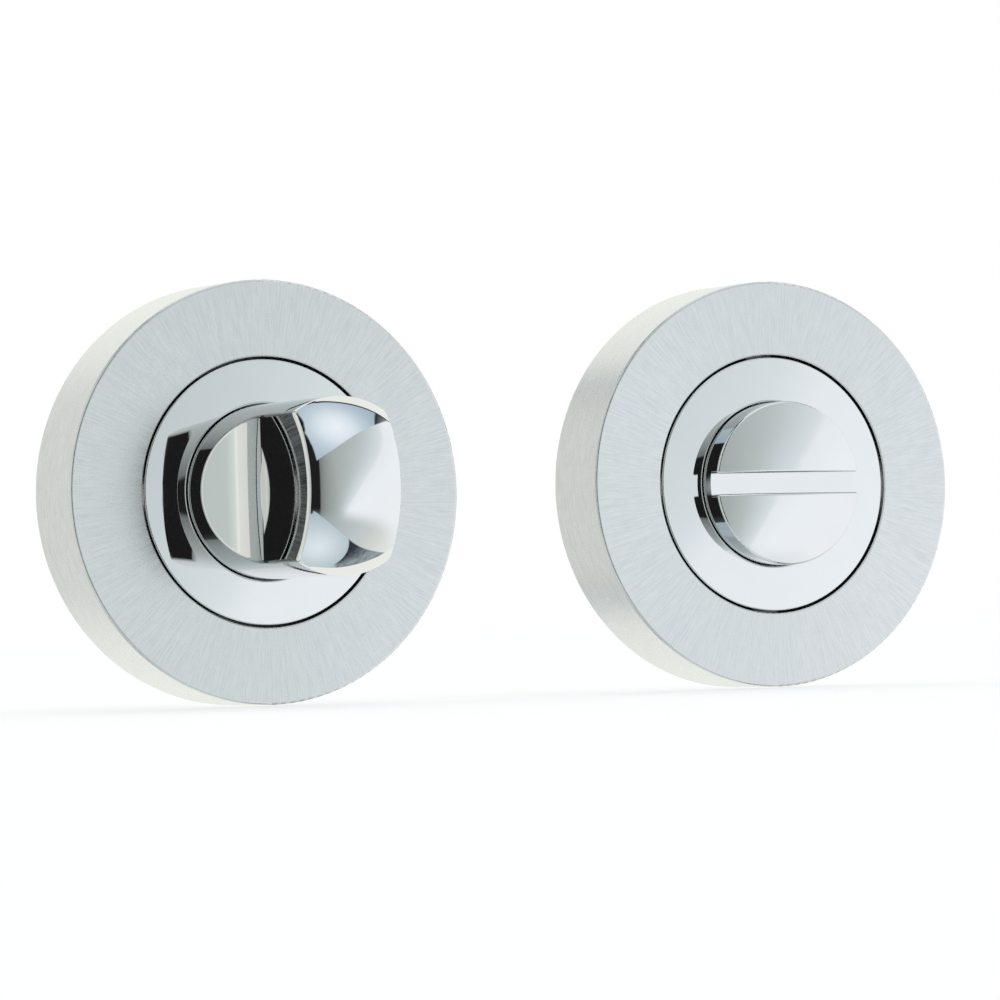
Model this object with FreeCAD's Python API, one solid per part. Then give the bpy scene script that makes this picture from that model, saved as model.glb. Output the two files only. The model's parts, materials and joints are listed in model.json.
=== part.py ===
import FreeCAD, Part
import math
import os

# Bathroom thumb turn lock: the thumb turn rose for the inside of the door and the
# coin release rose for the outside, laid side by side with both backs on one plane.
# Millimetres. X is to the right, Y goes into the door, Z is up. The origin is on the
# thumb turn's axis, on the plane of the door. A height is a distance out of the door.

Vector = FreeCAD.Vector

# Spacing of the two halves
AXIS_SPACING = 68.8

# Rose cover
ROSE_DIAMETER = 50.0
ROSE_DEPTH = 10.4
ROSE_EDGE_RADIUS = 0.3
COVER_SIDE_WALL = 1.6
COVER_FRONT_WALL = 1.8
COVER_OPENING_SHARE = 0.638
COVER_OPENING_CHAMFER = 0.15

# Polished centre plate
PLATE_GAP = 0.3
PLATE_RECESS = 0.2
PLATE_RIM_THICKNESS = 1.55
PLATE_CROWN_RADIUS = 250.0
PLATE_EDGE_RADIUS = 0.2
PLATE_SKIRT = 0.5
PLATE_SKIRT_CLEARANCE = 0.05
PLATE_HOLE_CLEARANCE = 0.08
PLATE_HOLE_EDGE_RADIUS = 0.25

# Sub-rose, the base that is fixed to the door
FLANGE_THICKNESS = 3.0
COVER_THREAD_CLEARANCE = 0.05
HUB_INSET = 1.75
RECESS_DIAMETER = 20.0
RECESS_DEPTH = 4.0
FIXING_EDGE_DISTANCE = 4.35
BOLT_HOLE_DIAMETER = 4.3
SCREW_HOLE_DIAMETER = 4.0
COUNTERSINK_DIAMETER = 7.4
COUNTERSINK_DEPTH = 1.7
PILLAR_DIAMETER = 7.4
PILLAR_HEIGHT = 4.2
THREAD_CORE_DIAMETER = 3.3

# Stop between sub-rose and knob
TURN_RANGE = 90.0
STOP_LUG_ANGLE = 24.0
STOP_ANGLE_CLEARANCE = 1.0
STOP_LUG_WIDTH = 1.0
STOP_LUG_HEIGHT = 1.2
STOP_SIDE_CLEARANCE = 0.15

# Knob bosses and stems
TURN_BOSS_DIAMETER = 20.6
RELEASE_BOSS_DIAMETER = 20.1
TURN_RIM_HEIGHT = 14.5
RELEASE_RIM_HEIGHT = 13.9
RELEASE_EDGE_RADIUS = 0.3
RELEASE_DOME_RISE = 1.5
STEM_DIAMETER = 13.0
STEM_END_HEIGHT = 0.5
RUNNING_CLEARANCE = 0.05

# Grip of the thumb turn
GRIP_FRONT_HEIGHT = 35.5
GRIP_FRONT_RADIUS = 13.0
GRIP_WIDTH = 11.8
GRIP_COVE_RADIUS = 8.2
GRIP_EDGE_RADIUS = 0.5

# Coin slot of the release
SLOT_WIDTH = 2.5
SLOT_DEPTH = 1.6

# Spindle and its sockets
SPINDLE_WIDTH = 5.0
SPINDLE_REACH = 42.0
SPINDLE_END_CHAMFER = 0.4
SPINDLE_GRIP_HEIGHT = 12.4
SOCKET_CLEARANCE = 0.05
RELEASE_SOCKET_CLEARANCE = 0.1
RELEASE_SOCKET_HEIGHT = 10.6
PIN_DIAMETER = 1.5
PIN_WALL = 0.3
PIN_SLIT = 0.3
PIN_END_CLEARANCE = 0.2

# Bush, washers and retaining ring
BUSH_WALL = 1.5
BUSH_FIT_CLEARANCE = 0.02
BUSH_COLLAR_DIAMETER = 18.6
BUSH_COLLAR_THICKNESS = 0.8
THRUST_WASHER_THICKNESS = 0.5
THRUST_WASHER_DIAMETER = 17.2
WASHER_BORE_CLEARANCE = 0.12
AXIAL_CLEARANCE = 0.05
WAVE_WASHER_DIAMETER = 18.0
WAVE_WASHER_THICKNESS = 0.25
WAVE_HEIGHT = 0.4
WAVE_COUNT = 3
BACKING_WASHER_DIAMETER = 18.6
BACKING_WASHER_THICKNESS = 0.5
RING_THICKNESS = 0.8
RING_GROOVE_DEPTH = 0.6
RING_WIDTH = 1.7
RING_OPENING_ANGLE = 46.0
RING_EAR_DIAMETER = 2.6
RING_EAR_HOLE = 1.1
RING_SIDE_CLEARANCE = 0.05

# Sizes and heights that follow from the ones above
ROSE_RADIUS = ROSE_DIAMETER / 2
COVER_BORE_RADIUS = ROSE_RADIUS - COVER_SIDE_WALL
OPENING_RADIUS = ROSE_RADIUS * COVER_OPENING_SHARE
FLANGE_RADIUS = COVER_BORE_RADIUS - COVER_THREAD_CLEARANCE
FIXING_SPACING = 2 * (FLANGE_RADIUS - FIXING_EDGE_DISTANCE)
HUB_RADIUS = OPENING_RADIUS - HUB_INSET
RECESS_RADIUS = RECESS_DIAMETER / 2
PLATE_RIM_FRONT = ROSE_DEPTH - PLATE_RECESS
HUB_FRONT = PLATE_RIM_FRONT - PLATE_RIM_THICKNESS
STEM_RADIUS = STEM_DIAMETER / 2
BUSH_RADIUS = STEM_RADIUS + RUNNING_CLEARANCE + BUSH_WALL
HUB_BORE_RADIUS = BUSH_RADIUS + BUSH_FIT_CLEARANCE
WASHER_BORE_RADIUS = STEM_RADIUS + WASHER_BORE_CLEARANCE
BOSS_BACK = HUB_FRONT + THRUST_WASHER_THICKNESS + AXIAL_CLEARANCE
COLLAR_BACK = RECESS_DEPTH - BUSH_COLLAR_THICKNESS
WAVE_FRONT = COLLAR_BACK - AXIAL_CLEARANCE
WAVE_BACK = WAVE_FRONT - WAVE_WASHER_THICKNESS - WAVE_HEIGHT
BACKING_FRONT = WAVE_BACK - AXIAL_CLEARANCE
RING_FRONT = BACKING_FRONT - BACKING_WASHER_THICKNESS
GROOVE_FRONT = RING_FRONT + RING_SIDE_CLEARANCE
GROOVE_BACK = RING_FRONT - RING_THICKNESS - RING_SIDE_CLEARANCE
GROOVE_RADIUS = STEM_RADIUS - RING_GROOVE_DEPTH
STOP_LUG_OUTER = min(TURN_BOSS_DIAMETER, RELEASE_BOSS_DIAMETER) / 2 - STOP_SIDE_CLEARANCE
STOP_LUG_INNER = STOP_LUG_OUTER - STOP_LUG_WIDTH
PIN_HEIGHT = (RECESS_DEPTH + HUB_FRONT) / 2
PIN_LENGTH = STEM_DIAMETER - 2 * PIN_END_CLEARANCE
TURN_X = 0.0
RELEASE_X = AXIS_SPACING
FULL_TURN = 360.0
HALF_TURN = 180.0
OVERLAP = 1.0
TINY = 1e-6


def place(x, radius, height):
    """Point at a radius and a height in the plane through an axis at x."""
    return Vector(x + radius, -height, 0)


def turned(x, outline):
    """Solid of revolution about the axis at x. A corner of the outline is
    (radius, height), and with a middle point before it an arc leads to it."""
    start = place(x, *outline[0])
    edges = []
    for corner in outline[1:] + outline[:1]:
        end = place(x, *corner[-2:])
        if len(corner) == 4:
            edges.append(Part.Arc(start, place(x, *corner[:2]), end).toShape())
        else:
            edges.append(Part.LineSegment(start, end).toShape())
        start = end
    face = Part.Face(Part.Wire(edges))
    return face.revolve(Vector(x, 0, 0), Vector(0, 1, 0), FULL_TURN)


def drum(x, radius, low, high, z=0.0):
    """Cylinder along Y between two heights."""
    return Part.makeCylinder(radius, high - low, Vector(x, -low, z), Vector(0, -1, 0))


def block(x, width, low, high, depth):
    """Box centred on the axis at x, between two heights."""
    corner = Vector(x - width / 2, -high, -depth / 2)
    return Part.makeBox(width, high - low, depth, corner)


def sector(x, inner, outer, low, high, middle, spread):
    """Piece of a ring, spread degrees wide about the direction middle, which is
    counted from up, clockwise as seen from in front of the door."""
    ring = drum(x, outer, low, high).cut(drum(x, inner, low - OVERLAP, high + OVERLAP))
    reach = 2 * outer
    rays = []
    for side in (-0.5, 0.5):
        angle = math.radians(middle + side * spread)
        rays.append(Vector(x + reach * math.sin(angle), -low, reach * math.cos(angle)))
    wedge = Part.Face(Part.makePolygon([Vector(x, -low, 0)] + rays + [Vector(x, -low, 0)]))
    wedge = wedge.extrude(Vector(0, low - high, 0))
    return ring.common(wedge)


def is_rim(edge, x, radius, height):
    """Whether an edge is the full circle of this radius at this height."""
    if edge.Degenerated or not isinstance(edge.Curve, Part.Circle):
        return False
    curve = edge.Curve
    centre = curve.Center
    level = abs(centre.y + height) < TINY
    return level and abs(curve.Radius - radius) < TINY and abs(centre.x - x) < TINY


def rose_cover(x):
    """Satin outer ring, a cup that screws over the sub-rose."""
    inside = ROSE_DEPTH - COVER_FRONT_WALL
    shell = turned(x, [
        (ROSE_RADIUS, 0),
        (ROSE_RADIUS, ROSE_DEPTH),
        (OPENING_RADIUS, ROSE_DEPTH),
        (OPENING_RADIUS, inside),
        (COVER_BORE_RADIUS, inside),
        (COVER_BORE_RADIUS, 0),
    ])
    outer_rim = [e for e in shell.Edges if is_rim(e, x, ROSE_RADIUS, ROSE_DEPTH)]
    shell = shell.makeFillet(ROSE_EDGE_RADIUS, outer_rim)
    opening_rim = [e for e in shell.Edges if is_rim(e, x, OPENING_RADIUS, ROSE_DEPTH)]
    return shell.makeChamfer(COVER_OPENING_CHAMFER, opening_rim)


def centre_plate(x, boss_radius):
    """Polished disc round the knob, crowned on its front, with a short skirt
    over the hub."""
    rim = OPENING_RADIUS - PLATE_GAP
    hole = boss_radius + PLATE_HOLE_CLEARANCE
    skirt = HUB_RADIUS + PLATE_SKIRT_CLEARANCE
    middle = (hole + rim) / 2
    centre = PLATE_RIM_FRONT - math.sqrt(PLATE_CROWN_RADIUS**2 - rim**2)
    hole_front = centre + math.sqrt(PLATE_CROWN_RADIUS**2 - hole**2)
    middle_front = centre + math.sqrt(PLATE_CROWN_RADIUS**2 - middle**2)
    plate = turned(x, [
        (hole, HUB_FRONT),
        (hole, hole_front),
        (middle, middle_front, rim, PLATE_RIM_FRONT),
        (rim, HUB_FRONT - PLATE_SKIRT),
        (skirt, HUB_FRONT - PLATE_SKIRT),
        (skirt, HUB_FRONT),
    ])
    outer_rim = [e for e in plate.Edges if is_rim(e, x, rim, PLATE_RIM_FRONT)]
    plate = plate.makeFillet(PLATE_EDGE_RADIUS, outer_rim)
    hole_rim = [e for e in plate.Edges if is_rim(e, x, hole, hole_front)]
    return plate.makeFillet(PLATE_HOLE_EDGE_RADIUS, hole_rim)


def screw_hole(x):
    """Countersunk hole for a wood screw, through the flange."""
    hole = drum(x, SCREW_HOLE_DIAMETER / 2, -OVERLAP, FLANGE_THICKNESS + OVERLAP)
    sink = turned(x, [
        (0, FLANGE_THICKNESS - COUNTERSINK_DEPTH),
        (SCREW_HOLE_DIAMETER / 2, FLANGE_THICKNESS - COUNTERSINK_DEPTH),
        (COUNTERSINK_DIAMETER / 2, FLANGE_THICKNESS),
        (COUNTERSINK_DIAMETER / 2, FLANGE_THICKNESS + OVERLAP),
        (0, FLANGE_THICKNESS + OVERLAP),
    ])
    return hole.fuse(sink)


def stop_groove(x):
    """Groove in the hub's face that the knob's lug turns in, to the same angle
    on either side of the top."""
    inner = STOP_LUG_INNER - STOP_SIDE_CLEARANCE
    outer = STOP_LUG_OUTER + STOP_SIDE_CLEARANCE
    floor = BOSS_BACK - STOP_LUG_HEIGHT - AXIAL_CLEARANCE
    top = HUB_FRONT + OVERLAP
    travel = 2 * TURN_RANGE + STOP_LUG_ANGLE + 2 * STOP_ANGLE_CLEARANCE
    land = sector(x, inner - OVERLAP, outer + OVERLAP, floor, top, HALF_TURN, FULL_TURN - travel)
    return drum(x, outer, floor, top).cut(drum(x, inner, floor, top)).cut(land)


def sub_rose_blank(x):
    """Flange and hub with the bush's bore, the rear recess and the stop groove."""
    body = turned(x, [
        (RECESS_RADIUS, 0),
        (FLANGE_RADIUS, 0),
        (FLANGE_RADIUS, FLANGE_THICKNESS),
        (HUB_RADIUS, FLANGE_THICKNESS),
        (HUB_RADIUS, HUB_FRONT),
        (HUB_BORE_RADIUS, HUB_FRONT),
        (HUB_BORE_RADIUS, RECESS_DEPTH),
        (RECESS_RADIUS, RECESS_DEPTH),
    ])
    body = body.cut(stop_groove(x))
    for side in (-1, 1):
        body = body.cut(screw_hole(x + side * FIXING_SPACING / 2))
    return body


def turn_sub_rose(x):
    """Base of the thumb turn, with clear holes for the bolts through the door."""
    body = sub_rose_blank(x)
    for side in (-1, 1):
        z = side * FIXING_SPACING / 2
        body = body.cut(drum(x, BOLT_HOLE_DIAMETER / 2, -OVERLAP, FLANGE_THICKNESS + OVERLAP, z))
    return body


def release_sub_rose(x):
    """Base of the release, with threaded pillars for the same bolts."""
    body = sub_rose_blank(x)
    top = FLANGE_THICKNESS + PILLAR_HEIGHT
    for side in (-1, 1):
        z = side * FIXING_SPACING / 2
        body = body.fuse(drum(x, PILLAR_DIAMETER / 2, FLANGE_THICKNESS - OVERLAP, top, z))
        body = body.cut(drum(x, THREAD_CORE_DIAMETER / 2, -OVERLAP, top + OVERLAP, z))
    return body.removeSplitter()


def knob_blank(x, radius, ball, top):
    """Stem with the groove for its retaining ring, and a boss whose front is
    part of a ball."""
    body = turned(x, [
        (0, STEM_END_HEIGHT),
        (STEM_RADIUS, STEM_END_HEIGHT),
        (STEM_RADIUS, GROOVE_BACK),
        (GROOVE_RADIUS, GROOVE_BACK),
        (GROOVE_RADIUS, GROOVE_FRONT),
        (STEM_RADIUS, GROOVE_FRONT),
        (STEM_RADIUS, BOSS_BACK),
        (radius, BOSS_BACK),
        (radius, top),
        (0, top),
    ])
    centre = top - ball
    rim = centre + math.sqrt(ball**2 - radius**2)
    ahead = drum(x, radius + OVERLAP, rim - OVERLAP, top + OVERLAP)
    return body.cut(ahead.cut(Part.makeSphere(ball, place(x, 0, centre))))


def stop_lug(x):
    """Lug behind the boss that runs in the hub's groove."""
    back = BOSS_BACK - STOP_LUG_HEIGHT
    return sector(x, STOP_LUG_INNER, STOP_LUG_OUTER, back, BOSS_BACK + OVERLAP, 0, STOP_LUG_ANGLE)


def finger_space(x, radius, side):
    """What is taken away on one side of the grip: down to a flat side that is
    hollowed at its foot and runs out at the rim of the boss."""
    wall = side * GRIP_WIDTH / 2
    centre = wall + side * GRIP_COVE_RADIUS
    beyond = side * (radius + OVERLAP)
    drop = math.sqrt(GRIP_COVE_RADIUS**2 - (side * radius - centre)**2)
    foot = TURN_RIM_HEIGHT + drop
    top = GRIP_FRONT_HEIGHT + OVERLAP

    def corner(across, height=None):
        if height is None:
            height = foot - math.sqrt(GRIP_COVE_RADIUS**2 - (across - centre)**2)
        return place(x, across, height) - Vector(0, 0, 2 * radius)

    hollow = Part.Arc(corner(wall), corner((wall + beyond) / 2), corner(beyond)).toShape()
    rest = Part.makePolygon([corner(beyond), corner(beyond, top), corner(wall, top), corner(wall)])
    return Part.Face(Part.Wire([hollow] + rest.Edges)).extrude(Vector(0, 0, 4 * radius))


def is_grip_edge(edge, x):
    """Whether an edge of the knob goes round a side of the grip or its domed front."""
    if edge.Degenerated:
        return False
    corners = [(-v.Y, math.hypot(v.X - x, v.Z)) for v in edge.Vertexes]
    ahead = all(height > TURN_RIM_HEIGHT - TINY and reach > TINY for height, reach in corners)
    foot = isinstance(edge.Curve, Part.Line) and edge.BoundBox.YLength < TINY
    return ahead and not foot


def socket(x, clearance, top):
    """Square hole for the spindle, from the stem's end up to a height."""
    width = SPINDLE_WIDTH + 2 * clearance
    return block(x, width, STEM_END_HEIGHT - OVERLAP, top, width)


def pin_hole(x):
    """Cross hole for the spring pin that holds the spindle."""
    start = Vector(x - STEM_DIAMETER, -PIN_HEIGHT, 0)
    return Part.makeCylinder(PIN_DIAMETER / 2, 2 * STEM_DIAMETER, start, Vector(1, 0, 0))


def thumb_turn(x):
    """Knob of the inside: stem, boss and upright grip in one casting."""
    radius = TURN_BOSS_DIAMETER / 2
    knob = knob_blank(x, radius, GRIP_FRONT_RADIUS, GRIP_FRONT_HEIGHT)
    for side in (-1, 1):
        knob = knob.cut(finger_space(x, radius, side))
    knob = knob.makeFillet(GRIP_EDGE_RADIUS, [e for e in knob.Edges if is_grip_edge(e, x)])
    knob = knob.fuse(stop_lug(x)).cut(socket(x, SOCKET_CLEARANCE, SPINDLE_GRIP_HEIGHT + AXIAL_CLEARANCE))
    return knob.cut(pin_hole(x))


def is_release_edge(edge, floor):
    """Whether an edge is ahead of the slot's floor, round the face or the slot."""
    if edge.Degenerated:
        return False
    heights = [-v.Y for v in edge.Vertexes]
    return min(heights) > floor - TINY and max(heights) > floor + TINY


def release_turn(x):
    """Knob of the outside: stem and boss with a coin slot across the face."""
    radius = RELEASE_BOSS_DIAMETER / 2
    ball = (radius**2 + RELEASE_DOME_RISE**2) / (2 * RELEASE_DOME_RISE)
    top = RELEASE_RIM_HEIGHT + RELEASE_DOME_RISE
    floor = RELEASE_RIM_HEIGHT - SLOT_DEPTH
    knob = knob_blank(x, radius, ball, top).cut(block(x, 4 * radius, floor, top + OVERLAP, SLOT_WIDTH))
    knob = knob.makeFillet(RELEASE_EDGE_RADIUS, [e for e in knob.Edges if is_release_edge(e, floor)])
    return knob.fuse(stop_lug(x)).cut(socket(x, RELEASE_SOCKET_CLEARANCE, RELEASE_SOCKET_HEIGHT))


def spindle(x):
    """Square bar through the door, chamfered at both ends."""
    width = SPINDLE_WIDTH
    bar = block(x, width, -SPINDLE_REACH, SPINDLE_GRIP_HEIGHT, width)
    bar = bar.makeChamfer(SPINDLE_END_CHAMFER, [e for e in bar.Edges if e.BoundBox.YLength < TINY])
    return bar.cut(pin_hole(x))


def spindle_pin(x):
    """Rolled spring pin through stem and spindle."""
    start = Vector(x - PIN_LENGTH / 2, -PIN_HEIGHT, 0)
    pin = Part.makeCylinder(PIN_DIAMETER / 2, PIN_LENGTH, start, Vector(1, 0, 0))
    core = Part.makeCylinder(PIN_DIAMETER / 2 - PIN_WALL, PIN_LENGTH, start, Vector(1, 0, 0))
    slit = Part.makeBox(PIN_LENGTH, PIN_DIAMETER, PIN_SLIT, start - Vector(0, 0, PIN_SLIT / 2))
    return pin.cut(core).cut(slit)


def bush(x):
    """Plastic bearing sleeve with a collar, pushed into the hub from behind."""
    bore = STEM_RADIUS + RUNNING_CLEARANCE
    collar = BUSH_COLLAR_DIAMETER / 2
    return turned(x, [
        (bore, COLLAR_BACK),
        (collar, COLLAR_BACK),
        (collar, RECESS_DEPTH),
        (BUSH_RADIUS, RECESS_DEPTH),
        (BUSH_RADIUS, HUB_FRONT),
        (bore, HUB_FRONT),
    ])


def washer(x, diameter, low, high):
    """Flat washer round the stem."""
    return drum(x, diameter / 2, low, high).cut(drum(x, WASHER_BORE_RADIUS, low - OVERLAP, high + OVERLAP))


def wave_edge(x, radius):
    """Closed wavy line round the stem, on the back of the wave washer."""
    points = []
    steps = 12 * WAVE_COUNT
    for step in range(steps):
        angle = 2 * math.pi * step / steps
        height = WAVE_BACK + WAVE_HEIGHT * (1 + math.cos(WAVE_COUNT * angle)) / 2
        points.append(Vector(x + radius * math.cos(angle), -height, radius * math.sin(angle)))
    curve = Part.BSplineCurve()
    curve.interpolate(points, PeriodicFlag=True)
    return curve.toShape()


def wave_washer(x):
    """Spring washer that takes up the play and gives the turn its drag."""
    inner = wave_edge(x, WASHER_BORE_RADIUS)
    outer = wave_edge(x, WAVE_WASHER_DIAMETER / 2)
    sheet = Part.makeRuledSurface(inner, outer)
    return sheet.extrude(Vector(0, -WAVE_WASHER_THICKNESS, 0))


def retaining_ring(x):
    """Open ring in the stem's groove, with an ear and an eye at each end."""
    back = RING_FRONT - RING_THICKNESS
    inner = GROOVE_RADIUS + RING_SIDE_CLEARANCE
    middle = inner + RING_WIDTH / 2
    ring = drum(x, inner + RING_WIDTH, back, RING_FRONT)
    half_opening = math.radians(RING_OPENING_ANGLE / 2)
    ears = []
    for side in (-1, 1):
        across = side * middle * math.sin(half_opening)
        up = (middle + RING_EAR_DIAMETER / 4) * math.cos(half_opening)
        ears.append((across + x, up))
    ring = ring.cut(sector(x, 0.1, 2 * middle, back - OVERLAP, RING_FRONT + OVERLAP, 0, RING_OPENING_ANGLE))
    for ear_x, ear_z in ears:
        ring = ring.fuse(drum(ear_x, RING_EAR_DIAMETER / 2, back, RING_FRONT, ear_z))
    ring = ring.cut(drum(x, inner, back - OVERLAP, RING_FRONT + OVERLAP))
    for ear_x, ear_z in ears:
        ring = ring.cut(drum(ear_x, RING_EAR_HOLE / 2, back - OVERLAP, RING_FRONT + OVERLAP, ear_z))
    return ring.removeSplitter()


def stem_fittings(x):
    """The bush, the washers and the ring that carry and hold a knob's stem."""
    thrust_top = HUB_FRONT + THRUST_WASHER_THICKNESS
    return {
        "bush": bush(x),
        "thrust_washer": washer(x, THRUST_WASHER_DIAMETER, HUB_FRONT, thrust_top),
        "wave_washer": wave_washer(x),
        "backing_washer": washer(x, BACKING_WASHER_DIAMETER, RING_FRONT, BACKING_FRONT),
        "retaining_ring": retaining_ring(x),
    }


def build():
    """All pieces by name."""
    pieces = {
        "turn_rose_cover": rose_cover(TURN_X),
        "turn_centre_plate": centre_plate(TURN_X, TURN_BOSS_DIAMETER / 2),
        "turn_sub_rose": turn_sub_rose(TURN_X),
        "thumb_turn": thumb_turn(TURN_X),
        "spindle": spindle(TURN_X),
        "spindle_pin": spindle_pin(TURN_X),
        "release_rose_cover": rose_cover(RELEASE_X),
        "release_centre_plate": centre_plate(RELEASE_X, RELEASE_BOSS_DIAMETER / 2),
        "release_sub_rose": release_sub_rose(RELEASE_X),
        "release_turn": release_turn(RELEASE_X),
    }
    for half, x in (("turn", TURN_X), ("release", RELEASE_X)):
        for name, piece in stem_fittings(x).items():
            pieces[f"{half}_{name}"] = piece
    return pieces


os.makedirs("parts", exist_ok=True)
for name, piece in build().items():
    shape = piece.Solids[0] if len(piece.Solids) == 1 else piece
    print(name, len(piece.Solids), shape.isValid(), round(shape.Volume, 2))
    shape.exportStep(f"parts/{name}.step")
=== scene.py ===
import json
import math

import bpy
from mathutils import Matrix, Vector


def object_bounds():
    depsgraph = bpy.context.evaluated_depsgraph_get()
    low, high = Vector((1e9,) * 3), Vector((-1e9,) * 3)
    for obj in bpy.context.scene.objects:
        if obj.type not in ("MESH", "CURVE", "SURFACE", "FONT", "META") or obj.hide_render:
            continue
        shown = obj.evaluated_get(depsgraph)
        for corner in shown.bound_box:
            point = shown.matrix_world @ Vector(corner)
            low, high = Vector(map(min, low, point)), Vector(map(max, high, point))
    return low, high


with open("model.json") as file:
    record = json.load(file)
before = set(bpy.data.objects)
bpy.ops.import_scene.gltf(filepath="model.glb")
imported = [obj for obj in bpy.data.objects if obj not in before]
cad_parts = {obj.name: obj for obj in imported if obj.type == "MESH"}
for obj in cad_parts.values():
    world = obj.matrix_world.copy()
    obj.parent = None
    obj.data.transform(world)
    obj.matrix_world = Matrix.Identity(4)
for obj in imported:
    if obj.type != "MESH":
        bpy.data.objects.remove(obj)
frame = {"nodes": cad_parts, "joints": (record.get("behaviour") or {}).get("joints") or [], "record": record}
cad_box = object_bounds()
nodes = frame["nodes"]
scene = bpy.context.scene

# Camera: left of the roses and a little below their middle. Angles in degrees, place in metres.
FOCAL_PIXELS = 5306.6
FRAME_PIXELS = 1000
SENSOR_WIDTH = 36.0
CAMERA_YAW = 27.438
CAMERA_PITCH = 1.313
CAMERA_ROLL = -1.657
CAMERA_PLACE = (-0.2626, -0.5753, -0.0160)
CAMERA_CLIP = (0.05, 50)

# The studio that the metal mirrors depends on direction alone. A direction's x, y and z are its shares to
# the right, into the door and up. Its azimuth is 0 straight out from the door and grows to the right, its
# elevation grows upwards, both in degrees. Pairs are where a soft step starts and ends. Tones are
# (low end, high end, stops) of a ramp, each stop a value and a display colour from 0 to 255.
STUDIO_LEVEL = 1.3
EDGE_BLUR = (-0.6, 0.6)
BLACK = (30, 30, 31)

# Room, by azimuth. To the right its tones move outwards with height, so it gets darker upwards.
ROOM_RISE = 32.0
ROOM_RISE_START = -22.0
ROOM_TONES = (-40, 100, [
    (-38, (30, 30, 30)), (-16.9, BLACK), (-16.1, (118, 123, 122)), (-12, (139, 145, 143)),
    (-7, (152, 158, 156)), (0, (165, 173, 170)), (10, (181, 190, 189)), (20, (205, 213, 216)),
    (24, (214, 221, 224)), (28, (231, 235, 239)), (42, (236, 240, 244)), (100, (237, 239, 242))])
LOW_ROOM_ELEVATION = (-21.0, -37.0)
LOW_ROOM_TONES = (-40, 100, [
    (-22, (128, 138, 140)), (-10, (158, 169, 172)), (5, (173, 183, 185)), (20, (184, 192, 193)),
    (35, (191, 199, 200)), (50, (197, 203, 201)), (70, (210, 214, 210)), (95, (224, 227, 224))])

# Soft box overhead, by distance from its lamp. Its lower edge is an arc with its peak at an azimuth.
# Beside it lie a dark corner on the right and a black strip on the left, whose edge leans high up.
BOX_LAMP = (0.2, -0.48, 0.855)
BOX_TONES = (0, 1, [
    (0, (241, 244, 249)), (0.12, (230, 237, 242)), (0.18, (226, 234, 241)), (0.3, (214, 225, 231)),
    (0.43, (195, 208, 217)), (0.6, (175, 193, 205)), (0.8, (164, 178, 191))])
BOX_EDGE_PEAK_AZIMUTH = 50.0
BOX_EDGE_PEAK = 46.8
BOX_EDGE_BEND = 0.0043
CORNER_X = (0.72, 0.74)
CORNER_TONES = (0.7, 0.9, [(0.74, (42, 45, 48)), (0.775, (95, 101, 107)), (0.82, (150, 158, 162))])
STRIP_X = -0.29
STRIP_BLUR = (0.01, -0.01)
STRIP_LEAN = 0.7
STRIP_LEAN_Z = 0.84

# Table below, by distance from its lamp. Its far edge is an arc, its left end follows the azimuth. On its
# right hangs a wedge of dark cloth.
TABLE_LAMP = (-0.14, -0.42, -0.895)
TABLE_TONES = (0, 1, [
    (0, (222, 231, 236)), (0.2, (211, 221, 226)), (0.31, (200, 211, 216)), (0.42, (189, 203, 209)),
    (0.6, (174, 187, 195)), (1, (186, 195, 198))])
TABLE_EDGE = -39.6
TABLE_EDGE_SLOPE = -0.532
TABLE_EDGE_BEND = 0.00558
TABLE_END_DROP = -2.0
WEDGE_AZIMUTH = 43.0
WEDGE_ELEVATION = -60.0
WEDGE_LEAN = 1.4
WEDGE_BLUR = (-1.5, 1.5)
WEDGE_BOTTOM = (-77.0, -72.0)
WEDGE_TONES = (30, 100, [
    (50, (52, 58, 66)), (62, (84, 92, 98)), (68, (108, 118, 122)), (78, (133, 144, 148)),
    (96, (148, 157, 158))])
CLOTH_SCALE = 14.0
CLOTH_LEAST = 0.3
CLOTH_CONTRAST = 1.4

# Left of the camera, by azimuth: a grey wall, then a white card seen edge on
WALL_AZIMUTH = (-34.3, -35.8)
WALL_X = (-0.41, -0.43)
WALL_Z = (0.45, 0.4)
LEFT_TONES = (-180, -30, [
    (-180, (214, 214, 211)), (-130, (207, 208, 204)), (-116, (212, 212, 207)), (-96, (220, 220, 214)),
    (-93.5, (230, 233, 227)), (-88, (206, 213, 206)), (-74, (188, 196, 192)), (-36, (186, 194, 192))])

# Pale behind the object, from an edge in y, with a thin dark line before it overhead
BACK_EDGE = 0.06
BACK_EDGE_BEND = 0.5
BACK_EDGE_DROP = -0.11
BACK_DROP_Z = (0.05, -0.05)
BACK_X = (-0.22, -0.12)
BACK_START = (0.012, 0.024)
BACK_TONE = (234, 235, 229)
LINE_START = (-0.02, -0.008)
LINE_Z = (0.2, 0.4)
LINE_TONE = (40, 42, 44)

# Floor just under the roses. What it adds and what it reflects make white together.
FLOOR_GAP = 0.0002
FLOOR_RADIUS = 3.0
FLOOR_GLOW = 0.63
FLOOR_SHADE = (0.48, 0.48, 0.48, 1)
PAPER_DARK = (0.78, 0.78, 0.78, 1)
PAPER_LIGHT = (0.82, 0.82, 0.82, 1)
PAPER_SCALE = 60.0

# Finishes. Marks are noise per metre, one number or across, along and upright. Relief is in metres.
CHROME = dict(dark=(0.73, 0.738, 0.742), light=(0.77, 0.775, 0.778), rough=(0.012, 0.04))
CHROME_HAZE_MARKS = 260
CHROME_WAVE_MARKS = 420
CHROME_RELIEF = 0.0000012

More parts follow.
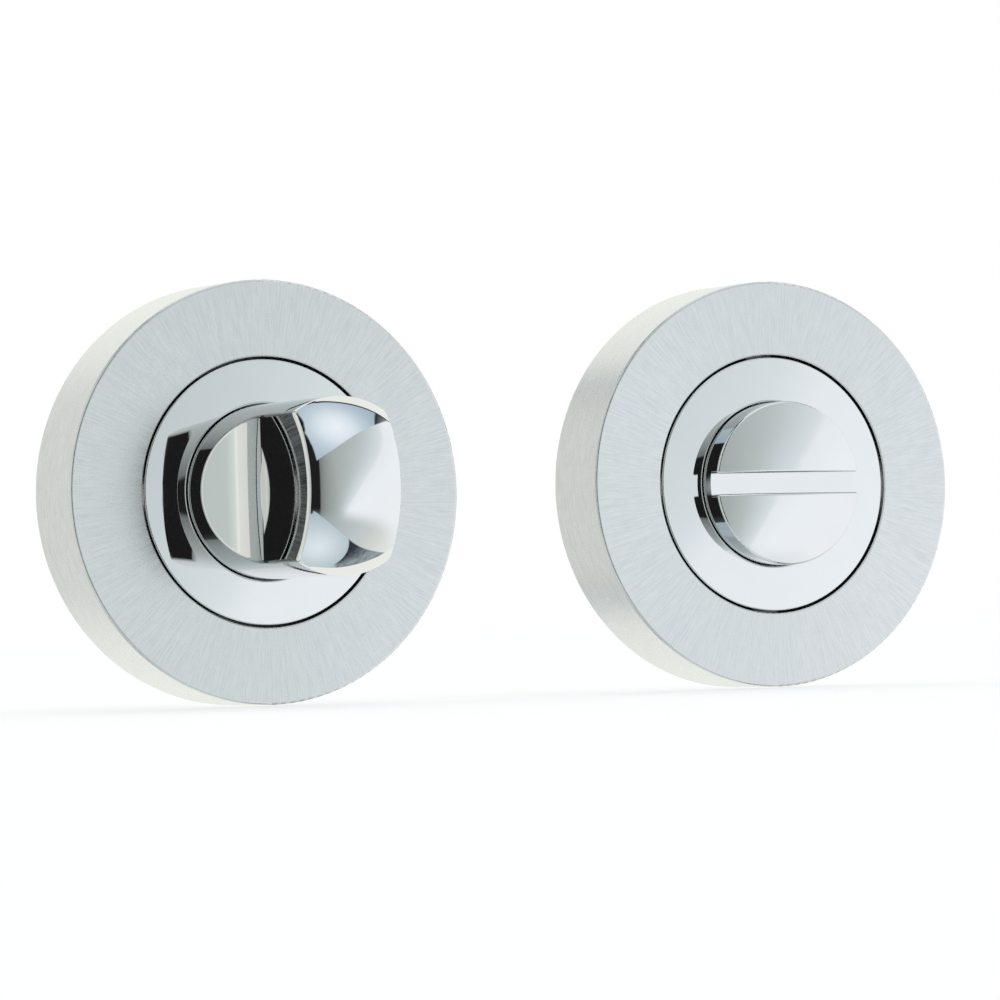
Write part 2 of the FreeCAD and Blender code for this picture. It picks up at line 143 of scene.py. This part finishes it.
SATIN = dict(dark=(0.63, 0.645, 0.65), light=(0.79, 0.795, 0.79), rough=(0.22, 0.34))
SATIN_STROKES_ROUND = 120.0
SATIN_STROKES_OUT = 330.0
SATIN_RINGS_ROUND = 9.0
SATIN_RINGS_DEEP = 5200.0
SATIN_SIDE_RADIUS = (0.0246, 0.0249)
SATIN_MOTTLE_MARKS = 900
SATIN_MOTTLE_SHARE = 0.2
SATIN_RELIEF = 0.000006
SATIN_ANISOTROPY = 0.55

PLAIN_METALS = {
    "zinc_casting": dict(
        dark=(0.40, 0.41, 0.42), light=(0.55, 0.56, 0.57), rough=(0.38, 0.58), marks=1500, relief=0.00001),
    "plated_steel": dict(
        dark=(0.56, 0.56, 0.53), light=(0.74, 0.74, 0.71), rough=(0.2, 0.36), marks=(900, 120, 900),
        relief=0.000004),
    "spring_steel": dict(
        dark=(0.10, 0.10, 0.115), light=(0.2, 0.2, 0.215), rough=(0.28, 0.5), marks=1800, relief=0.000004),
}
BLOTCH_MARKS = 220
BLOTCH_SHARE = 0.4

NYLON = dict(dark=(0.76, 0.745, 0.68), light=(0.87, 0.86, 0.81), rough=(0.36, 0.5))
NYLON_CLOUD_MARKS = 400
NYLON_PORE_MARKS = 3000
NYLON_RELIEF = 0.000004
NYLON_SUBSURFACE = 0.15
NYLON_SUBSURFACE_RADIUS = (0.001, 0.0009, 0.0007)

# Noise mostly lies between these values
NOISE_WIDE = (0.3, 0.7)
NOISE_NARROW = (0.35, 0.65)


def make_camera():
    """Camera at the photograph's viewing angle."""
    yaw, pitch, roll = (math.radians(a) for a in (CAMERA_YAW, CAMERA_PITCH, CAMERA_ROLL))
    forward = Vector((math.sin(yaw) * math.cos(pitch), math.cos(yaw) * math.cos(pitch), math.sin(pitch)))
    level = Vector((math.cos(yaw), -math.sin(yaw), 0))
    right = level * math.cos(roll) + level.cross(forward) * math.sin(roll)
    up = right.cross(forward)
    data = bpy.data.cameras.new("camera")
    data.sensor_width = SENSOR_WIDTH
    data.lens = SENSOR_WIDTH * FOCAL_PIXELS / FRAME_PIXELS
    data.clip_start, data.clip_end = CAMERA_CLIP
    camera = bpy.data.objects.new("camera", data)
    scene.collection.objects.link(camera)
    turned = Matrix((right, up, -forward)).transposed().to_4x4()
    camera.matrix_world = Matrix.Translation(CAMERA_PLACE) @ turned
    scene.camera = camera


def shade(red, green, blue):
    """Linear colour of a display colour from 0 to 255."""
    shares = (value / 255 for value in (red, green, blue))
    return tuple(v / 12.92 if v <= 0.04045 else ((v + 0.055) / 1.055) ** 2.4 for v in shares) + (1.0,)


class Graph:
    """Short forms for making shader nodes."""

    def __init__(self, tree):
        self.tree = tree
        tree.nodes.clear()

    def node(self, kind, **settings):
        made = self.tree.nodes.new(kind)
        for name, value in settings.items():
            setattr(made, name, value)
        return made

    def feed(self, socket, value):
        if isinstance(value, bpy.types.NodeSocket):
            self.tree.links.new(value, socket)
        else:
            socket.default_value = value

    def math(self, operation, *values):
        made = self.node("ShaderNodeMath", operation=operation)
        for socket, value in zip(made.inputs, values):
            self.feed(socket, value)
        return made.outputs[0]

    def total(self, *values):
        """Sum of two or more values."""
        total, *rest = values
        for value in rest:
            total = self.math("ADD", total, value)
        return total

    def product(self, *values):
        """Product of two or more values."""
        product, *rest = values
        for value in rest:
            product = self.math("MULTIPLY", product, value)
        return product

    def step(self, value, start, end):
        """0 before start and 1 after end, smooth between them."""
        made = self.node("ShaderNodeMapRange", interpolation_type="SMOOTHSTEP")
        self.feed(made.inputs["Value"], value)
        self.feed(made.inputs["From Min"], start)
        self.feed(made.inputs["From Max"], end)
        return made.outputs["Result"]

    def mix(self, share, first, second):
        made = self.node("ShaderNodeMix", data_type="RGBA", clamp_factor=True)
        self.feed(made.inputs[0], share)
        self.feed(made.inputs[6], first)
        self.feed(made.inputs[7], second)
        return made.outputs[2]

    def tones(self, value, low, high, stops):
        """Colour ramp from low to high, whose stops are given in the value's own unit."""
        made = self.node("ShaderNodeValToRGB")
        elements = made.color_ramp.elements
        while len(elements) < len(stops):
            elements.new(0.5)
        for element, (place, colour) in zip(elements, stops):
            element.position = (place - low) / (high - low)
            element.color = shade(*colour)
        share = self.math("DIVIDE", self.math("SUBTRACT", value, low), high - low)
        self.feed(made.inputs["Fac"], share)
        return made.outputs["Color"]


class Studio(Graph):
    """Graph of the world, with the direction looked in, its shares and its angles."""

    def __init__(self, tree):
        super().__init__(tree)
        self.direction = self.node("ShaderNodeTexCoord").outputs["Generated"]
        split = self.node("ShaderNodeSeparateXYZ")
        self.feed(split.inputs[0], self.direction)
        self.x, self.y, self.z = split.outputs
        outwards = self.product(self.y, -1.0)
        self.azimuth = self.math("DEGREES", self.math("ARCTAN2", self.x, outwards))
        self.elevation = self.math("DEGREES", self.math("ARCSINE", self.z))

    def dimmed(self, colour, share):
        """Colour times a number."""
        made = self.node("ShaderNodeVectorMath", operation="SCALE")
        self.feed(made.inputs[0], colour)
        self.feed(made.inputs["Scale"], share)
        return made.outputs[0]

    def around(self, lamp, tones):
        """Tones by the distance of the direction from a lamp's."""
        made = self.node("ShaderNodeVectorMath", operation="DISTANCE")
        self.feed(made.inputs[0], self.direction)
        made.inputs[1].default_value = lamp
        return self.tones(made.outputs["Value"], *tones)

    def room(self):
        height = self.math("MAXIMUM", self.elevation, ROOM_RISE_START)
        spread = self.math("EXPONENT", self.math("DIVIDE", height, -ROOM_RISE))
        on_right = self.product(self.math("MAXIMUM", self.azimuth, 0.0), spread)
        on_left = self.math("MINIMUM", self.azimuth, 0.0)
        room = self.tones(self.total(on_right, on_left), *ROOM_TONES)
        low_room = self.tones(self.azimuth, *LOW_ROOM_TONES)
        return self.mix(self.step(self.elevation, *LOW_ROOM_ELEVATION), room, low_room)

    def table(self):
        """Colour of the table with its wedge of cloth, and 1 where it covers the room."""
        drop = self.math("SUBTRACT", WEDGE_ELEVATION, self.elevation)
        wedge_start = self.total(self.product(drop, WEDGE_LEAN), WEDGE_AZIMUTH)
        past_start = self.step(self.math("SUBTRACT", self.azimuth, wedge_start), *WEDGE_BLUR)
        in_wedge = self.product(past_start, self.step(self.elevation, *WEDGE_BOTTOM))
        cloth = self.node("ShaderNodeTexNoise")
        self.feed(cloth.inputs["Vector"], self.direction)
        cloth.inputs["Scale"].default_value = CLOTH_SCALE
        folds = self.total(self.product(cloth.outputs["Fac"], CLOTH_CONTRAST), CLOTH_LEAST)
        wedge = self.dimmed(self.tones(self.azimuth, *WEDGE_TONES), folds)
        table = self.mix(in_wedge, self.around(TABLE_LAMP, TABLE_TONES), wedge)

        slope = self.product(self.azimuth, TABLE_EDGE_SLOPE)
        bend = self.product(self.azimuth, self.azimuth, TABLE_EDGE_BEND)
        end = self.total(self.azimuth, TABLE_END_DROP)
        edge = self.math("MINIMUM", self.total(slope, bend, TABLE_EDGE), end)
        return table, self.step(self.math("SUBTRACT", edge, self.elevation), *EDGE_BLUR)

    def soft_box(self):
        """Colour of the soft box with the dark beside it, and 1 where it covers the room."""
        box = self.around(BOX_LAMP, BOX_TONES)
        box = self.mix(self.step(self.x, *CORNER_X), box, self.tones(self.x, *CORNER_TONES))
        high = self.math("MAXIMUM", self.math("SUBTRACT", self.z, STRIP_LEAN_Z), 0.0)
        strip_edge = self.total(self.product(high, STRIP_LEAN), STRIP_X)
        in_strip = self.step(self.math("SUBTRACT", self.x, strip_edge), *STRIP_BLUR)
        box = self.mix(in_strip, box, shade(*BLACK))

        from_peak = self.math("SUBTRACT", self.azimuth, BOX_EDGE_PEAK_AZIMUTH)
        edge = self.math("SUBTRACT", BOX_EDGE_PEAK, self.product(from_peak, from_peak, BOX_EDGE_BEND))
        return box, self.step(self.math("SUBTRACT", self.elevation, edge), *EDGE_BLUR)

    def on_wall(self):
        """1 where the grey wall and the white card on the left cover the rest."""
        past_corner = self.step(self.azimuth, *WALL_AZIMUTH)
        far_left = self.step(self.x, *WALL_X)
        level = self.step(self.math("ABSOLUTE", self.z), *WALL_Z)
        return self.product(past_corner, self.math("MAXIMUM", far_left, level))

    def with_back(self, colour):
        """Colour with the pale back and the dark line before it."""
        bend = self.product(self.math("POWER", self.x, 4.0), BACK_EDGE_BEND)
        drop = self.product(self.step(self.z, *BACK_DROP_Z), BACK_EDGE_DROP)
        past_edge = self.math("SUBTRACT", self.y, self.total(bend, BACK_EDGE, drop))
        on_right = self.step(self.x, *BACK_X)
        line = self.product(self.step(past_edge, *LINE_START), self.step(self.z, *LINE_Z), on_right)
        colour = self.mix(line, colour, shade(*LINE_TONE))
        back = self.product(self.step(past_edge, *BACK_START), on_right)
        return self.mix(back, colour, shade(*BACK_TONE))


def make_world():
    """Studio seen by the metal: a dark camera side, a room that brightens to the right and downwards, a soft
    box above, a pale table below and a white card on the left. White to the camera."""
    world = bpy.data.worlds.new("studio")
    scene.world = world
    world.use_nodes = True
    g = Studio(world.node_tree)
    table, below = g.table()
    box, above = g.soft_box()
    colour = g.mix(above, g.mix(below, g.room(), table), box)
    colour = g.mix(g.on_wall(), colour, g.tones(g.azimuth, *LEFT_TONES))
    colour = g.dimmed(g.with_back(colour), STUDIO_LEVEL)
    path = g.node("ShaderNodeLightPath")
    colour = g.mix(path.outputs["Is Camera Ray"], colour, (1, 1, 1, 1))
    background = g.node("ShaderNodeBackground")
    g.feed(background.inputs["Color"], colour)
    background.inputs["Strength"].default_value = 1.0
    out = g.node("ShaderNodeOutputWorld")
    g.feed(out.inputs["Surface"], background.outputs[0])


class Finish(Graph):
    """Graph of a surface, with its shader and its object coordinates."""

    def __init__(self, name, metallic):
        self.material = bpy.data.materials.new(name)
        self.material.use_nodes = True
        super().__init__(self.material.node_tree)
        self.shader = self.node("ShaderNodeBsdfPrincipled")
        self.shader.inputs["Metallic"].default_value = metallic
        self.place = self.node("ShaderNodeTexCoord").outputs["Object"]
        out = self.node("ShaderNodeOutputMaterial")
        self.feed(out.inputs["Surface"], self.shader.outputs[0])

    def vector(self, *values):
        made = self.node("ShaderNodeCombineXYZ")
        for socket, value in zip(made.inputs, values):
            self.feed(socket, value)
        return made.outputs[0]

    def noise(self, vector, detail):
        made = self.node("ShaderNodeTexNoise")
        self.feed(made.inputs["Vector"], vector)
        made.inputs["Scale"].default_value = 1.0
        made.inputs["Detail"].default_value = detail
        return made.outputs["Fac"]

    def marked(self, marks, detail):
        """Noise over the object with a number of marks per metre."""
        made = self.node("ShaderNodeVectorMath", operation="MULTIPLY")
        self.feed(made.inputs[0], self.place)
        made.inputs[1].default_value = marks if isinstance(marks, tuple) else (marks,) * 3
        return self.noise(made.outputs[0], detail)

    def blend(self, first, second, share):
        """A share of the second value and the rest of the first."""
        return self.total(self.product(first, 1 - share), self.product(second, share))

    def between(self, value, low, high, first, last):
        """A value between low and high as a number between first and last."""
        made = self.node("ShaderNodeMapRange")
        self.feed(made.inputs["Value"], value)
        for name, number in zip(("From Min", "From Max", "To Min", "To Max"), (low, high, first, last)):
            self.feed(made.inputs[name], number)
        return made.outputs["Result"]

    def coat(self, share, grain, dark, light, rough):
        """Colour by a share and roughness by a grain."""
        self.feed(self.shader.inputs["Base Color"], self.mix(share, dark + (1.0,), light + (1.0,)))
        self.feed(self.shader.inputs["Roughness"], self.between(grain, *NOISE_WIDE, *rough))

    def relief(self, height, depth):
        """Bumps of a height between 0 and 1, depth metres deep."""
        made = self.node("ShaderNodeBump")
        made.inputs["Strength"].default_value = 1.0
        made.inputs["Distance"].default_value = depth
        self.feed(made.inputs["Height"], height)
        self.feed(self.shader.inputs["Normal"], made.outputs["Normal"])


def make_polished():
    """Mirror chrome with a faint waviness and a breath of haze."""
    g = Finish("polished_chrome", 1.0)
    haze = g.marked(CHROME_HAZE_MARKS, 4.0)
    g.coat(haze, haze, **CHROME)
    g.relief(g.marked(CHROME_WAVE_MARKS, 1.0), CHROME_RELIEF)
    return g.material


def make_satin(spacing):
    """Satin chrome with short strokes outwards from the middle on the front and fine rings round the side.
    Both roses share it, so the middle is that of the nearer one."""
    g = Finish("satin_chrome", 1.0)
    split = g.node("ShaderNodeSeparateXYZ")
    g.feed(split.inputs[0], g.place)
    x, y, z = split.outputs
    middle = g.product(g.math("GREATER_THAN", x, spacing / 2), spacing)
    x = g.math("SUBTRACT", x, middle)
    radius = g.math("SQRT", g.total(g.product(x, x), g.product(z, z)))
    unit_x, unit_z = g.math("DIVIDE", x, radius), g.math("DIVIDE", z, radius)

    def strokes(around, along):
        """Vector for noise that is stretched along the strokes."""
        return g.vector(g.product(unit_x, around), along, g.product(unit_z, around))

    front = g.noise(strokes(SATIN_STROKES_ROUND, g.product(radius, SATIN_STROKES_OUT)), 2.0)
    side = g.noise(strokes(SATIN_RINGS_ROUND, g.product(y, SATIN_RINGS_DEEP)), 3.0)
    grain = g.node("ShaderNodeMix", data_type="FLOAT")
    g.feed(grain.inputs[0], g.step(radius, *SATIN_SIDE_RADIUS))
    g.feed(grain.inputs[2], front)
    g.feed(grain.inputs[3], side)
    both = g.blend(grain.outputs[0], g.marked(SATIN_MOTTLE_MARKS, 3.0), SATIN_MOTTLE_SHARE)
    g.coat(g.between(both, *NOISE_WIDE, 0.0, 1.0), both, **SATIN)
    g.relief(both, SATIN_RELIEF)
    g.feed(g.shader.inputs["Tangent"], g.vector(unit_z, 0.0, g.product(unit_x, -1.0)))
    g.shader.inputs["Anisotropic"].default_value = SATIN_ANISOTROPY
    return g.material


def make_plain_metal(name, dark, light, rough, marks, relief):
    """Metal of the hidden pieces, with a grain and broad blotches."""
    g = Finish(name, 1.0)
    grain = g.marked(marks, 4.0)
    both = g.blend(grain, g.marked(BLOTCH_MARKS, 3.0), BLOTCH_SHARE)
    g.coat(g.between(both, *NOISE_NARROW, 0.0, 1.0), both, dark, light, rough)
    g.relief(grain, relief)
    return g.material


def make_nylon():
    """Natural moulded nylon, milky and slightly uneven."""
    g = Finish("nylon", 0.0)
    cloud = g.marked(NYLON_CLOUD_MARKS, 3.0)
    g.coat(g.between(cloud, *NOISE_NARROW, 0.0, 1.0), cloud, **NYLON)
    g.shader.inputs["Subsurface Weight"].default_value = NYLON_SUBSURFACE
    g.shader.inputs["Subsurface Radius"].default_value = NYLON_SUBSURFACE_RADIUS
    g.relief(g.marked(NYLON_PORE_MARKS, 2.0), NYLON_RELIEF)
    return g.material


def make_floor(low):
    """Pale floor that is white to the camera where nothing shades it."""
    r = FLOOR_RADIUS
    mesh = bpy.data.meshes.new("floor")
    mesh.from_pydata([(-r, -r, low), (r, -r, low), (r, r, low), (-r, r, low)], [], [(0, 1, 2, 3)])
    floor = bpy.data.objects.new("floor", mesh)
    scene.collection.objects.link(floor)
    material = bpy.data.materials.new("floor_paper")
    material.use_nodes = True
    g = Graph(material.node_tree)
    fibres = g.node("ShaderNodeTexNoise")
    fibres.inputs["Scale"].default_value = PAPER_SCALE
    paper = g.node("ShaderNodeBsdfDiffuse")
    g.feed(paper.inputs["Color"], g.mix(fibres.outputs["Fac"], PAPER_DARK, PAPER_LIGHT))
    shaded = g.node("ShaderNodeBsdfDiffuse")
    shaded.inputs["Color"].default_value = FLOOR_SHADE
    glow = g.node("ShaderNodeEmission")
    glow.inputs["Strength"].default_value = FLOOR_GLOW
    seen = g.node("ShaderNodeAddShader")
    g.feed(seen.inputs[0], shaded.outputs[0])
    g.feed(seen.inputs[1], glow.outputs[0])
    path = g.node("ShaderNodeLightPath")
    both = g.node("ShaderNodeMixShader")
    g.feed(both.inputs[0], path.outputs["Is Camera Ray"])
    g.feed(both.inputs[1], paper.outputs[0])
    g.feed(both.inputs[2], seen.outputs[0])
    out = g.node("ShaderNodeOutputMaterial")
    g.feed(out.inputs["Surface"], both.outputs[0])
    mesh.materials.append(material)
    floor.visible_glossy = False


def dress():
    """Gives each piece the finish of its slot in the record."""
    joints = {joint["name"]: joint for joint in frame["joints"]}
    spacing = joints["release_rotation"]["pos_m"][0]
    finishes = {
        "polished_chrome": make_polished(),
        "satin_chrome": make_satin(spacing),
        "nylon": make_nylon(),
    }
    for name, metal in PLAIN_METALS.items():
        finishes[name] = make_plain_metal(name, **metal)
    for part in frame["record"]["subparts"]:
        mesh = nodes[part["node"]].data
        mesh.materials.clear()
        mesh.materials.append(finishes[part["material_slot"]])


make_camera()
make_world()
scene.view_settings.view_transform = "Standard"
dress()
make_floor(cad_box[0].z - FLOOR_GAP)
